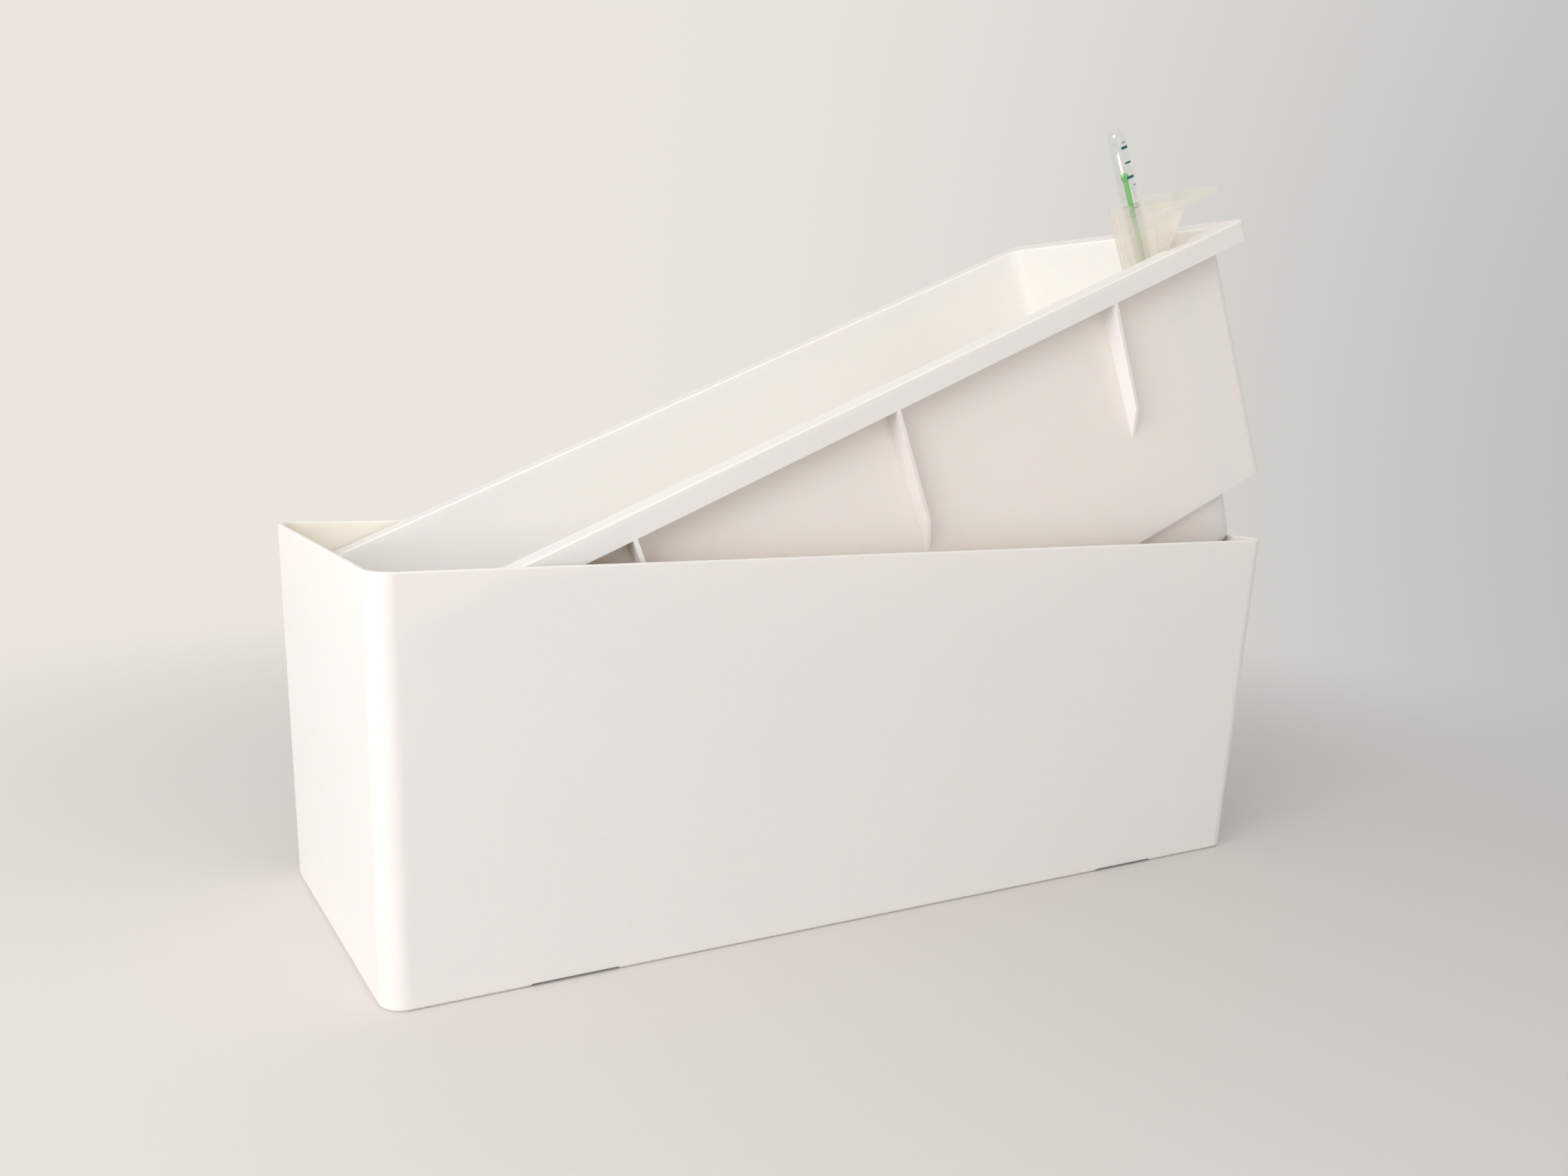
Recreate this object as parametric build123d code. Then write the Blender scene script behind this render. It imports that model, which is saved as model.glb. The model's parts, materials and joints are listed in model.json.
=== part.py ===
"""Self-watering window box: an outer water trough with a planting liner propped inside it.

The liner is shown lifted at one end, the way it is held while the trough is rinsed or refilled:
its right-hand foot stands on the trough's end wall and its left-hand foot stands on the rails.
A translucent filler with a clear float gauge hangs in the liner's front right corner.

World frame, in millimetres: origin under the middle of the trough, +X along the trough towards
the raised end, +Y to the back, +Z up. The liner, filler and gauge are drawn in the liner's own
frame, whose origin is the middle of its rim's top face, and are then moved to their place.
"""

import os
from math import cos, radians, sin, sqrt

from build123d import *

# ---- Outer trough ---------------------------------------------------------------------------
TROUGH_LENGTH = 510.0
TROUGH_WIDTH = 202.0
TROUGH_HEIGHT = 185.0
TROUGH_DRAFT = 6.5  # how far each wall leans in from the top edge to the base
TROUGH_WALL = 2.5
TROUGH_CORNER = 11.0
TROUGH_LIP_BREAK = 0.6
TROUGH_BASE_BREAK = 1.2
FLOOR_THICKNESS = 2.6
BASE_RECESS = 3.5  # height of the standing ring and webs under the floor
BASE_WEB = 3.0
BASE_WEB_STATIONS = (-100.0, 0.0, 100.0)
BASE_WEB_OFFSET = 48.0
BASE_RING_WIDTH = 5.0
NOTCH_LENGTH = 43.0
NOTCH_HEIGHT = 1.4
NOTCH_STATION = 165.0
RAIL_HEIGHT = 2.5
RAIL_THICKNESS = 3.0
RAIL_OFFSET = 35.0
RAIL_HALF_LENGTH = 232.0
RAIL_GAP = 40.0  # the rails stop short of the drain

# ---- Drain ----------------------------------------------------------------------------------
DRAIN_X = -60.0
DRAIN_BORE = 15.0
DRAIN_BOSS_DIAMETER = 25.0
DRAIN_BOSS_HEIGHT = 2.0
PLUG_HEAD_DIAMETER = 24.0
PLUG_HEAD_THICKNESS = 3.0
PLUG_HEAD_BREAK = 1.0
PLUG_STEM_DIAMETER = 14.4
PLUG_STEM_LENGTH = 8.0
PLUG_STEM_WALL = 2.0
PLUG_STEM_LEAD = 0.8
PLUG_TAB_WIDTH = 15.0
PLUG_TAB_HEIGHT = 9.0
PLUG_TAB_THICKNESS = 3.0
PLUG_TAB_HOLE = 5.0
SEAL_OUTER = 21.0
SEAL_INNER = 14.8
SEAL_THICKNESS = 1.6
SEAL_GAP = 0.1

# ---- Planting liner -------------------------------------------------------------------------
LINER_TILT = 23.4  # degrees, raised end towards +X
RIM_LENGTH = 502.0
RIM_WIDTH = 192.0
RIM_CORNER = 4.0
RIM_THICKNESS = 2.5
SKIRT_DEPTH = 11.3
SKIRT_WALL = 2.0
POCKET_CORNER = 3.0
BODY_INSET_TOP = 10.2
BODY_INSET_BASE = 11.5
BODY_CORNER = 9.0
BODY_DEPTH = 145.0
BODY_WALL = 2.6
RIM_BREAK = 0.6
RIB_PITCH = 147.0
RIB_THICKNESS = 2.2
RIB_DEPTH = 69.5  # down the outer edge, from the rim's top face
RIB_TIP_DEPTH = 87.0
FOOT_DEPTH = 32.0
RIGHT_FOOT = (112.0, 214.5)  # where each foot starts and ends along the liner, at the body's base
LEFT_FOOT = (-237.5, -112.0)
FOOT_SIDE_INSET = 4.0
FOOT_DRAFT = 1.8
FOOT_CORNER = 12.0
FOOT_ROUND = 6.0
FOOT_WALL = 2.5
FOOT_SLOT_COUNT = 5
FOOT_SLOT_WIDTH = 3.0
FOOT_SLOT_LENGTH = 54.0
SIDE_SLOT_HEIGHT = 14.0
WELL_LEFT = 199.0  # the gauge well's two inner walls, inside the right-hand foot
WELL_BACK = -51.6
WELL_WALL = 2.0
WELL_HOLE = 4.5
WELL_HOLE_PITCH = 7.2
AIR_SLOT_COLUMNS = 5
AIR_SLOT_LENGTH = 26.0
AIR_SLOT_WIDTH = 3.0
AIR_SLOT_PITCH = 44.0
AIR_SLOT_ROWS = (-48.0, 0.0, 48.0)

# ---- Filler ---------------------------------------------------------------------------------
FILLER_WALL = 1.2
FILLER_LEFT = 198.3  # the shaft's four sides, in the liner's own directions
FILLER_RIGHT = 215.0
FILLER_FRONT = -80.8
FILLER_BACK = -51.0
FILLER_TOP = 25.8
CHUTE_RIGHT = 224.2
CHUTE_FRONT = -108.2
CHUTE_LIP = 22.3  # the chute's underside at its front end
CHUTE_FALL = 0.2  # drop of the chute's floor per millimetre towards the shaft
CHUTE_CORNER = 2.5
FIN_REACH = -87.6  # the side fin's front edge, from the rim up to the chute
FIN_WAIST = (-98.2, 12.4)
FIN_HEAD = (-105.6, 21.2)
HOOK_THICKNESS = 1.5
GUIDE_LEFT = 196.3
GUIDE_FRONT = -59.7
GUIDE_BACK = -53.3
SHELF_THICKNESS = 1.6
SHELF_FRONT = -68.5

# ---- Float gauge ----------------------------------------------------------------------------
GAUGE_U = 205.6
GAUGE_V = -61.7
TUBE_DIAMETER = 9.6
TUBE_BORE = 7.8
TUBE_BORE_NOSE = 2.2
TUBE_TOP = 67.4
TUBE_BASE = -165.0
COLLAR_DIAMETER = 12.0
COLLAR_THICKNESS = 1.6
FLOAT_DIAMETER = 7.2
FLOAT_LENGTH = 40.0
FLOAT_BASE = -161.5
ROD_DIAMETER = 2.8
BULB_TOP = 43.3
BULB_DIAMETER = 4.2
BULB_HEIGHT = 5.0
BULB_TAPER = 1.4
CAP_FLANGE = 1.4
CAP_SPIGOT = 3.0
CAP_BORE = 5.4
CAP_SLOT = 2.0
CAP_FIT = 0.03
FLOAT_NOSE = 2.0

GAP = 0.3  # free play between pieces that come apart
BITE = 1.0  # how far forms that are joined run into each other
TOUCH = 0.01

FLOOR_TOP = BASE_RECESS + FLOOR_THICKNESS
RAIL_TOP = FLOOR_TOP + RAIL_HEIGHT
DRAFT_PER_MM = TROUGH_DRAFT / TROUGH_HEIGHT
RIM_HALF_LENGTH = RIM_LENGTH / 2
RIM_HALF_WIDTH = RIM_WIDTH / 2
FOOT_BASE = BODY_DEPTH + FOOT_DEPTH
FOOT_HALF_WIDTH = RIM_HALF_WIDTH - BODY_INSET_BASE - FOOT_SIDE_INSET
FILLER_BASE = BODY_WALL + GAP - BODY_DEPTH  # the shaft stops just above the liner's floor


def drafted_block(size, corner, z_base, z_top, lean):
    """A rounded rectangle of a size at z_base, drawn up to z_top with each wall leaning out."""
    length, width = size
    height = z_top - z_base
    block = Wedge(length, height, width, -lean, -lean, length + lean, width + lean)
    block = Pos(0, 0, (z_base + z_top) / 2) * Rot(90, 0, 0) * block
    upright = block.edges().filter_by_position(Axis.Z, z_base + 0.3 * height, z_top - 0.3 * height)
    return fillet(upright, corner)


def trough_size(z, inset):
    """Length and width of the trough's outer section at height z, less an inset all round."""
    lean = DRAFT_PER_MM * (TROUGH_HEIGHT - z) + inset
    return TROUGH_LENGTH - 2 * lean, TROUGH_WIDTH - 2 * lean


def trough_block(z_base, z_top, inset):
    """The trough's drafted form between two heights, drawn in by an inset."""
    lean = DRAFT_PER_MM * (z_top - z_base)
    return drafted_block(trough_size(z_base, inset), TROUGH_CORNER - inset, z_base, z_top, lean)


def edges_at(part, z):
    """The edges of a part that lie flat at height z."""
    return part.edges().filter_by_position(Axis.Z, z - TOUCH, z + TOUCH)


def base_webs():
    """Stiffening webs under the trough's floor, flush with the standing ring."""
    length, width = trough_size(0, BASE_RING_WIDTH / 2)
    height = BASE_RECESS + FLOOR_THICKNESS / 2
    webs = Part()
    for x in BASE_WEB_STATIONS:
        webs += Pos(x, 0, height / 2) * Box(BASE_WEB, width, height)
    for y in (-BASE_WEB_OFFSET, BASE_WEB_OFFSET):
        webs += Pos(0, y, height / 2) * Box(length, BASE_WEB, height)
    return webs


def notch_bar():
    """A low trapezoidal bar across the base: what is cut away for water to run out."""
    foot = NOTCH_LENGTH / 2
    top = foot - NOTCH_HEIGHT
    outline = Polyline((-foot, 0), (-top, NOTCH_HEIGHT), (top, NOTCH_HEIGHT), (foot, 0), close=True)
    return extrude(Plane.XZ * make_face(outline), TROUGH_WIDTH / 2, both=True)


def floor_rails():
    """Low rails that keep the liner's feet off the trough's floor, broken beside the drain."""
    rails = Part()
    height = RAIL_HEIGHT + FLOOR_THICKNESS / 2
    for y in (-RAIL_OFFSET, RAIL_OFFSET):
        for end in (-1, 1):
            start = DRAIN_X + end * RAIL_GAP / 2
            stop = end * RAIL_HALF_LENGTH
            rail = Box(abs(stop - start), RAIL_THICKNESS, height)
            rails += Pos((start + stop) / 2, y, RAIL_TOP - height / 2) * rail
    return rails


def make_outer_trough():
    """The water trough: drafted walls, raised floor with rails, standing ring and drain boss."""
    trough = trough_block(0, TROUGH_HEIGHT, 0)
    trough = chamfer(edges_at(trough, 0), TROUGH_BASE_BREAK)
    trough -= trough_block(FLOOR_TOP, TROUGH_HEIGHT, TROUGH_WALL)
    trough = chamfer(edges_at(trough, TROUGH_HEIGHT), TROUGH_LIP_BREAK)
    trough -= trough_block(0, BASE_RECESS, BASE_RING_WIDTH)
    trough += base_webs()
    for station in (-NOTCH_STATION, NOTCH_STATION):
        trough -= Pos(station, 0, 0) * notch_bar()
    trough += floor_rails()
    boss = Cylinder(DRAIN_BOSS_DIAMETER / 2, DRAIN_BOSS_HEIGHT)
    trough += Pos(DRAIN_X, 0, FLOOR_TOP + DRAIN_BOSS_HEIGHT / 2) * boss
    trough -= Pos(DRAIN_X, 0, FLOOR_TOP) * Cylinder(DRAIN_BORE / 2, 4 * FLOOR_THICKNESS)
    return trough


def make_drain_plug():
    """A push-in plug: hollow stem, flat head and an upright pull tab."""
    seat = FLOOR_TOP + DRAIN_BOSS_HEIGHT + SEAL_GAP + SEAL_THICKNESS
    head = Pos(0, 0, PLUG_HEAD_THICKNESS / 2) * Cylinder(PLUG_HEAD_DIAMETER / 2, PLUG_HEAD_THICKNESS)
    head = chamfer(edges_at(head, PLUG_HEAD_THICKNESS), PLUG_HEAD_BREAK)
    stem = Pos(0, 0, -PLUG_STEM_LENGTH / 2) * Cylinder(PLUG_STEM_DIAMETER / 2, PLUG_STEM_LENGTH)
    stem = chamfer(edges_at(stem, -PLUG_STEM_LENGTH), PLUG_STEM_LEAD)
    core_radius = PLUG_STEM_DIAMETER / 2 - PLUG_STEM_WALL
    stem -= Pos(0, 0, -PLUG_STEM_LENGTH / 2 - BITE) * Cylinder(core_radius, PLUG_STEM_LENGTH)
    tab_face = SlotOverall(PLUG_TAB_WIDTH, PLUG_TAB_HEIGHT) - Circle(PLUG_TAB_HOLE / 2)
    tab_level = PLUG_HEAD_THICKNESS + PLUG_TAB_HEIGHT / 2 - BITE
    tab = extrude(Plane.XZ * tab_face, PLUG_TAB_THICKNESS / 2, both=True)
    plug = head + stem + Pos(0, 0, tab_level) * tab
    return Pos(DRAIN_X, 0, seat) * plug


def make_plug_seal():
    """The soft washer squeezed between the plug's head and the drain boss."""
    ring = Circle(SEAL_OUTER / 2) - Circle(SEAL_INNER / 2)
    washer = extrude(ring, SEAL_THICKNESS)
    return Pos(DRAIN_X, 0, FLOOR_TOP + DRAIN_BOSS_HEIGHT + SEAL_GAP) * washer


def liner_place():
    """Where the liner stands: left foot's end on the rails, right foot's end on the end wall."""
    tilt = radians(LINER_TILT)
    round_w = FOOT_ROUND - FOOT_BASE
    left_round_u = LEFT_FOOT[0] + FOOT_DRAFT + FOOT_ROUND
    right_round_u = RIGHT_FOOT[1] - FOOT_DRAFT - FOOT_ROUND
    reach = FOOT_ROUND + GAP
    z = RAIL_TOP + reach - left_round_u * sin(tilt) - round_w * cos(tilt)
    right_round_z = z + right_round_u * sin(tilt) + round_w * cos(tilt)
    rise = right_round_z - TROUGH_HEIGHT
    run = sqrt(reach**2 - rise**2)
    wall_edge = TROUGH_LENGTH / 2 - TROUGH_WALL
    x = wall_edge - run - right_round_u * cos(tilt) + round_w * sin(tilt)
    return Location((x, 0, z), (0, -LINER_TILT, 0))


def liner_body(inset, depth_top, depth_base):
    """The liner's drafted body between two depths below the rim's top face, less an inset."""
    draft = (BODY_INSET_BASE - BODY_INSET_TOP) / BODY_DEPTH
    base_inset = BODY_INSET_TOP + draft * depth_base + inset
    size = (RIM_LENGTH - 2 * base_inset, RIM_WIDTH - 2 * base_inset)
    lean = draft * (depth_base - depth_top)
    return drafted_block(size, BODY_CORNER - inset, -depth_base, -depth_top, lean)


def foot_block(span, inset, depth_top, depth_base):
    """One wicking foot's drafted form between two depths, drawn in by an inset."""
    start, end = span
    draft = FOOT_DRAFT / FOOT_DEPTH
    base_inset = draft * (depth_base - BODY_DEPTH) + inset
    size = (end - start - 2 * base_inset, 2 * (FOOT_HALF_WIDTH - base_inset))
    lean = draft * (depth_base - depth_top)
    block = drafted_block(size, FOOT_CORNER - inset, -depth_base, -depth_top, lean)
    return Pos((start + end) / 2, 0, 0) * block


def foot_slots(span):
    """Slots in a foot's underside and inward wall that let water reach the soil."""
    start, end = span
    inner_end = start if start > 0 else end
    pitch = 2 * FOOT_HALF_WIDTH / (FOOT_SLOT_COUNT + 1)
    long_slot = Box(FOOT_SLOT_LENGTH, FOOT_SLOT_WIDTH, 4 * FOOT_WALL)
    side_slot = Box(6 * FOOT_WALL, FOOT_SLOT_WIDTH, SIDE_SLOT_HEIGHT)
    slots = Part()
    for place in GridLocations(0, pitch, 1, FOOT_SLOT_COUNT):
        slots += Pos((start + end) / 2, 0, -FOOT_BASE) * place * long_slot
        slots += Pos(inner_end, 0, -BODY_DEPTH - FOOT_DEPTH / 2) * place * side_slot
    return slots


def gauge_well():
    """Two walls that part the filler's corner of the right-hand foot from the soil."""
    height = FOOT_BASE - BODY_DEPTH + BODY_WALL - FOOT_WALL / 2
    middle_w = -BODY_DEPTH + BODY_WALL - height / 2
    right = RIGHT_FOOT[1] - FOOT_WALL / 2
    front = -FOOT_HALF_WIDTH + FOOT_WALL / 2
    side_wall = Pos(WELL_LEFT, (front + WELL_BACK) / 2, middle_w) * Box(WELL_WALL, WELL_BACK - front, height)
    back_wall = Box(right - WELL_LEFT + WELL_WALL, WELL_WALL, height)
    back_wall = Pos((WELL_LEFT + right) / 2, WELL_BACK, middle_w) * back_wall
    keep_in = foot_block(RIGHT_FOOT, FOOT_WALL / 2, BODY_DEPTH - BODY_WALL, FOOT_BASE)
    return (side_wall + back_wall) & keep_in


def well_holes():
    """The holes in the well's floor where the filled water runs out under the liner."""
    middle_v = (-FOOT_HALF_WIDTH + WELL_BACK) / 2
    middle_u = (WELL_LEFT + RIGHT_FOOT[1]) / 2
    holes = Part()
    for place in GridLocations(0, WELL_HOLE_PITCH, 1, 3):
        holes += Pos(middle_u, middle_v, -FOOT_BASE) * place * Cylinder(WELL_HOLE / 2, 4 * FOOT_WALL)
    return holes


def air_slots():
    """Rows of slots in the raised floor between the feet, for air and drainage."""
    slot = Box(AIR_SLOT_LENGTH, AIR_SLOT_WIDTH, 4 * BODY_WALL)
    slots = Part()
    for row in AIR_SLOT_ROWS:
        for place in GridLocations(AIR_SLOT_PITCH, 0, AIR_SLOT_COLUMNS, 1):
            slots += Pos(0, row, -BODY_DEPTH + BODY_WALL / 2) * place * slot
    return slots


def rib():
    """One outside rib: flush with the skirt at the top, ending in a slanted tip on the body."""
    lean = (BODY_INSET_BASE - BODY_INSET_TOP) / BODY_DEPTH
    face_top = BODY_INSET_TOP + BITE
    face_tip = BODY_INSET_TOP + lean * RIB_TIP_DEPTH + GAP
    outline = Polyline(
        (0, BITE / 2 - RIM_THICKNESS),
        (0, -SKIRT_DEPTH),
        (DRAFT_PER_MM * RIB_DEPTH, -RIB_DEPTH),
        (face_tip, -RIB_TIP_DEPTH),
        (face_top, BITE / 2 - RIM_THICKNESS),
        close=True,
    )
    blade = extrude(Plane.YZ * make_face(outline), RIB_THICKNESS / 2, both=True)
    return Pos(0, -RIM_HALF_WIDTH, 0) * blade


def liner_rim():
    """The flat flange round the liner's mouth and the skirt that hangs from its outer edge."""
    rim = extrude(RectangleRounded(RIM_LENGTH, RIM_WIDTH, RIM_CORNER), -SKIRT_DEPTH)
    pocket_size = (RIM_LENGTH - 2 * SKIRT_WALL, RIM_WIDTH - 2 * SKIRT_WALL)
    pocket = extrude(RectangleRounded(*pocket_size, POCKET_CORNER), -SKIRT_DEPTH)
    return rim - Pos(0, 0, -RIM_THICKNESS) * pocket


def make_inner_liner():
    """The planting liner, one moulding: flanged rim and skirt, drafted body, ribs, two wicking feet."""
    liner = liner_rim() + liner_body(0, RIM_THICKNESS, BODY_DEPTH)
    for span in (LEFT_FOOT, RIGHT_FOOT):
        foot = foot_block(span, 0, BODY_DEPTH - BITE, FOOT_BASE)
        liner += fillet(edges_at(foot, -FOOT_BASE), FOOT_ROUND)
    liner -= liner_body(BODY_WALL, 0, BODY_DEPTH - BODY_WALL)
    liner = chamfer(edges_at(liner, 0), RIM_BREAK)
    for span in (LEFT_FOOT, RIGHT_FOOT):
        hollow = foot_block(span, FOOT_WALL, BODY_DEPTH - BODY_WALL - BITE, FOOT_BASE - FOOT_WALL)
        liner -= chamfer(edges_at(hollow, FOOT_WALL - FOOT_BASE), FOOT_ROUND - FOOT_WALL)
        liner -= foot_slots(span)
    liner += gauge_well()
    liner -= well_holes()
    liner -= air_slots()
    for station in (-RIB_PITCH, 0, RIB_PITCH):
        front_rib = Pos(station, 0, 0) * rib()
        liner += front_rib
        liner += front_rib.mirror(Plane.XZ)
    return liner


def between(low, high):
    """A box between two opposite corners."""
    size = [top - bottom for bottom, top in zip(low, high)]
    middle = [(top + bottom) / 2 for bottom, top in zip(low, high)]
    return Pos(*middle) * Box(*size)


def across(points, width):
    """A flat shape given by (v, w) corners, made thick from the filler's left side inwards."""
    shape = Plane.YZ * make_face(Polyline(*points, close=True))
    return Pos(FILLER_LEFT, 0, 0) * extrude(shape, width)


def chute_block(inset):
    """The chute's form over the shaft and out past the rim; inset gives its open hollow."""
    front = CHUTE_FRONT + inset
    back = FILLER_BACK - inset
    top = FILLER_TOP + inset
    lip = CHUTE_LIP + inset
    drop = CHUTE_FALL * (back - front)
    profile = [(back, top), (front, top), (front, lip), (back, lip - drop)]
    block = across(profile, CHUTE_RIGHT - FILLER_LEFT - 2 * inset)
    corners = block.edges().filter_by(Axis.Z).sort_by(Axis.Y)[:2]
    return Pos(inset, 0, 0) * fillet(corners, CHUTE_CORNER - inset)


def shaft_block(inset):
    """The water shaft's form; inset gives its hollow, open at both ends."""
    low = (FILLER_LEFT + inset, FILLER_FRONT + inset, FILLER_BASE - inset)
    high = (FILLER_RIGHT - inset, FILLER_BACK - inset, FILLER_TOP)
    return between(low, high)


def side_fin():
    """The fin that carries the shaft's left side on over the rim, up to the chute."""
    foot = [(FILLER_FRONT, GAP), (FIN_REACH, GAP)]
    head = [FIN_WAIST, FIN_HEAD, (FILLER_FRONT, FIN_HEAD[1])]
    return across(foot + head, FILLER_WALL)


def rim_hook():
    """The ledge in front of the shaft that lies on the liner's rim."""
    low = (FILLER_LEFT, FIN_REACH, GAP)
    return between(low, (FILLER_RIGHT, FILLER_FRONT + FILLER_WALL / 2, GAP + HOOK_THICKNESS))


def guide_rib():
    """The flat rib down the shaft's left side."""
    low = (GUIDE_LEFT, GUIDE_FRONT, FILLER_BASE)
    return between(low, (FILLER_LEFT + FILLER_WALL / 2, GUIDE_BACK, FILLER_TOP))


def gauge_shelf():
    """The shelf over the back of the shaft that the gauge's collar rests on."""
    low = (FILLER_LEFT, SHELF_FRONT, FILLER_TOP - SHELF_THICKNESS)
    return between(low, (CHUTE_RIGHT, FILLER_BACK, FILLER_TOP))


def make_filler():
    """The translucent filler: a shaft, a chute that hangs out past the rim, a shelf for the gauge."""
    filler = shaft_block(0) + chute_block(0) - shaft_block(FILLER_WALL) - chute_block(FILLER_WALL)
    filler += side_fin() + rim_hook() + guide_rib() + gauge_shelf()
    bore = Cylinder(TUBE_DIAMETER / 2 + GAP / 2, 4 * SHELF_THICKNESS)
    return filler - Pos(GAUGE_U, GAUGE_V, FILLER_TOP) * bore


def make_gauge_tube():
    """The clear gauge tube: a domed top, and a collar that rests on the filler's shelf."""
    dome = TUBE_DIAMETER / 2
    outer = Cylinder(dome, TUBE_TOP - dome - TUBE_BASE)
    outer = Pos(0, 0, (TUBE_TOP - dome + TUBE_BASE) / 2) * outer
    outer += Pos(0, 0, TUBE_TOP - dome) * Sphere(dome)
    bore_top = TUBE_TOP - dome + TUBE_BORE_NOSE
    bore = Pos(0, 0, (bore_top + TUBE_BASE) / 2) * Cylinder(TUBE_BORE / 2, bore_top - TUBE_BASE)
    bore = chamfer(edges_at(bore, bore_top), TUBE_BORE_NOSE)
    collar_level = FILLER_TOP + GAP
    collar = Pos(0, 0, collar_level + COLLAR_THICKNESS / 2) * Cylinder(COLLAR_DIAMETER / 2, COLLAR_THICKNESS)
    return Pos(GAUGE_U, GAUGE_V) * (outer + collar - bore)


def make_gauge_cap():
    """The slotted plug in the tube's lower end; water enters through its slots."""
    spigot_radius = TUBE_BORE / 2 - CAP_FIT
    cap = Pos(0, 0, -CAP_FLANGE / 2) * Cylinder(TUBE_DIAMETER / 2, CAP_FLANGE)
    cap += Pos(0, 0, CAP_SPIGOT / 2) * Cylinder(spigot_radius, CAP_SPIGOT)
    cap -= Pos(0, 0, CAP_SPIGOT / 2) * Cylinder(CAP_BORE / 2, CAP_SPIGOT)
    for angle in (0, 90):
        cap -= Rot(0, 0, angle) * Pos(0, 0, -CAP_FLANGE) * Box(2 * TUBE_DIAMETER, CAP_SLOT, CAP_FLANGE)
    cap -= Cylinder(CAP_SLOT, 4 * CAP_FLANGE)
    return Pos(GAUGE_U, GAUGE_V, TUBE_BASE) * cap


def make_gauge_float():
    """The slim float at the foot of the gauge, tapered at both ends."""
    barrel = Pos(0, 0, FLOAT_LENGTH / 2) * Cylinder(FLOAT_DIAMETER / 2, FLOAT_LENGTH)
    barrel = chamfer(barrel.edges().filter_by(GeomType.CIRCLE), FLOAT_NOSE)
    return Pos(GAUGE_U, GAUGE_V, FLOAT_BASE) * barrel


def make_gauge_rod():
    """The rod standing on the float, with the bulb that is read against the marks."""
    foot = FLOAT_BASE + FLOAT_LENGTH
    bulb_middle = BULB_TOP - BULB_HEIGHT / 2
    rod = Pos(0, 0, (foot + bulb_middle) / 2) * Cylinder(ROD_DIAMETER / 2, bulb_middle - foot)
    bulb = Cylinder(BULB_DIAMETER / 2, BULB_HEIGHT)
    bulb = chamfer(bulb.edges().filter_by(GeomType.CIRCLE), BULB_TAPER)
    return Pos(GAUGE_U, GAUGE_V) * (rod + Pos(0, 0, bulb_middle) * bulb)


def main():
    """Write one STEP file for each piece."""
    os.makedirs("parts", exist_ok=True)
    place = liner_place()
    pieces = {
        "outer_trough": make_outer_trough(),
        "drain_plug": make_drain_plug(),
        "plug_seal": make_plug_seal(),
        "inner_liner": place * make_inner_liner(),
        "filler": place * make_filler(),
        "gauge_tube": place * make_gauge_tube(),
        "gauge_cap": place * make_gauge_cap(),
        "gauge_float": place * make_gauge_float(),
        "gauge_rod": place * make_gauge_rod(),
    }
    for name, piece in pieces.items():
        export_step(piece, f"parts/{name}.step")
        box = piece.bounding_box()
        print(name, box.min, box.max, round(piece.volume / 1000, 1), "cm3")
    print("liner origin", place.position, "tilt", LINER_TILT)


main()
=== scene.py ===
"""Finishes a packed self-watering window box: soft edges, plastics, gauge marks and a stage."""

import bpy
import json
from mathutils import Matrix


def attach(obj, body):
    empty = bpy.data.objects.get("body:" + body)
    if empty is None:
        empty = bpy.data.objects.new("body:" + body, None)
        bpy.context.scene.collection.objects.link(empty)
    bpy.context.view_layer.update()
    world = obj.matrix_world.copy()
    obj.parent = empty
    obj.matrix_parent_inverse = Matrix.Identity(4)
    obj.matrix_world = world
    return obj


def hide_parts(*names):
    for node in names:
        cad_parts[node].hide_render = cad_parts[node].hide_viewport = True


bl_info = {
    "name": "Self-watering window box",
    "version": (1, 0, 0),
    "blender": (4, 5, 0),
    "location": "3D View > Sidebar > Window Box",
    "description": "Builds the finished pieces of a self-watering window box on its packed model",
    "category": "Add Mesh",
}

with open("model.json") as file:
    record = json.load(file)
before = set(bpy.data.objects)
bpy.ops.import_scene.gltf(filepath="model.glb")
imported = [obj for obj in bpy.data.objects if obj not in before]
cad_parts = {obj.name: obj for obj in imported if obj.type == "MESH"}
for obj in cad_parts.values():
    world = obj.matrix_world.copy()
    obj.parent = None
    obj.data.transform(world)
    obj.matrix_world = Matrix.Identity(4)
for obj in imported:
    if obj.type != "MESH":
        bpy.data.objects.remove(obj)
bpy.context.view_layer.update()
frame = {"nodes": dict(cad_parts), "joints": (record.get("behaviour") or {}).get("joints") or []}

import json
from math import cos, pi, radians, sin

import bmesh
import bpy
from mathutils import Matrix, Vector

LIFT_AXIS = Vector(
    next(joint["axis"] for joint in frame["joints"] if joint["name"] == "float_rise")
).normalized()
MM = 0.001

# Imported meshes: what is merged, in metres, and what counts as flat or as hard. Then how far the
# hard edges of each piece are rounded, in metres.
MERGE_GAP = 0.000002
FLAT_ANGLE = radians(0.4)
HARD_ANGLE = radians(28)
FILLER_EDGE = 0.00025
CAP_EDGE = 0.0001
PLUG_EDGE = 0.0003
SEAL_EDGE = 0.0002

# The direction that pieces are sorted along, chosen so that no two parts of a piece tie.
SLANT = Vector((1.0, 0.754878, 0.569840))

# Inward faces, which get painted light: how upright a level face's normal is, and how far below
# the rim the face lies, in millimetres.
LEVEL_FACING = 0.8
RIM_DEPTH = 3.0

# Turned pieces: what is merged, in millimetres, how near to upright, in radians, an arc meets the
# axis, and the share of a side that the round at its end may take up.
WELD_GAP = 0.001
AXIS_GAP = 0.001
ROUND_SHARE = 0.45

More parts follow.
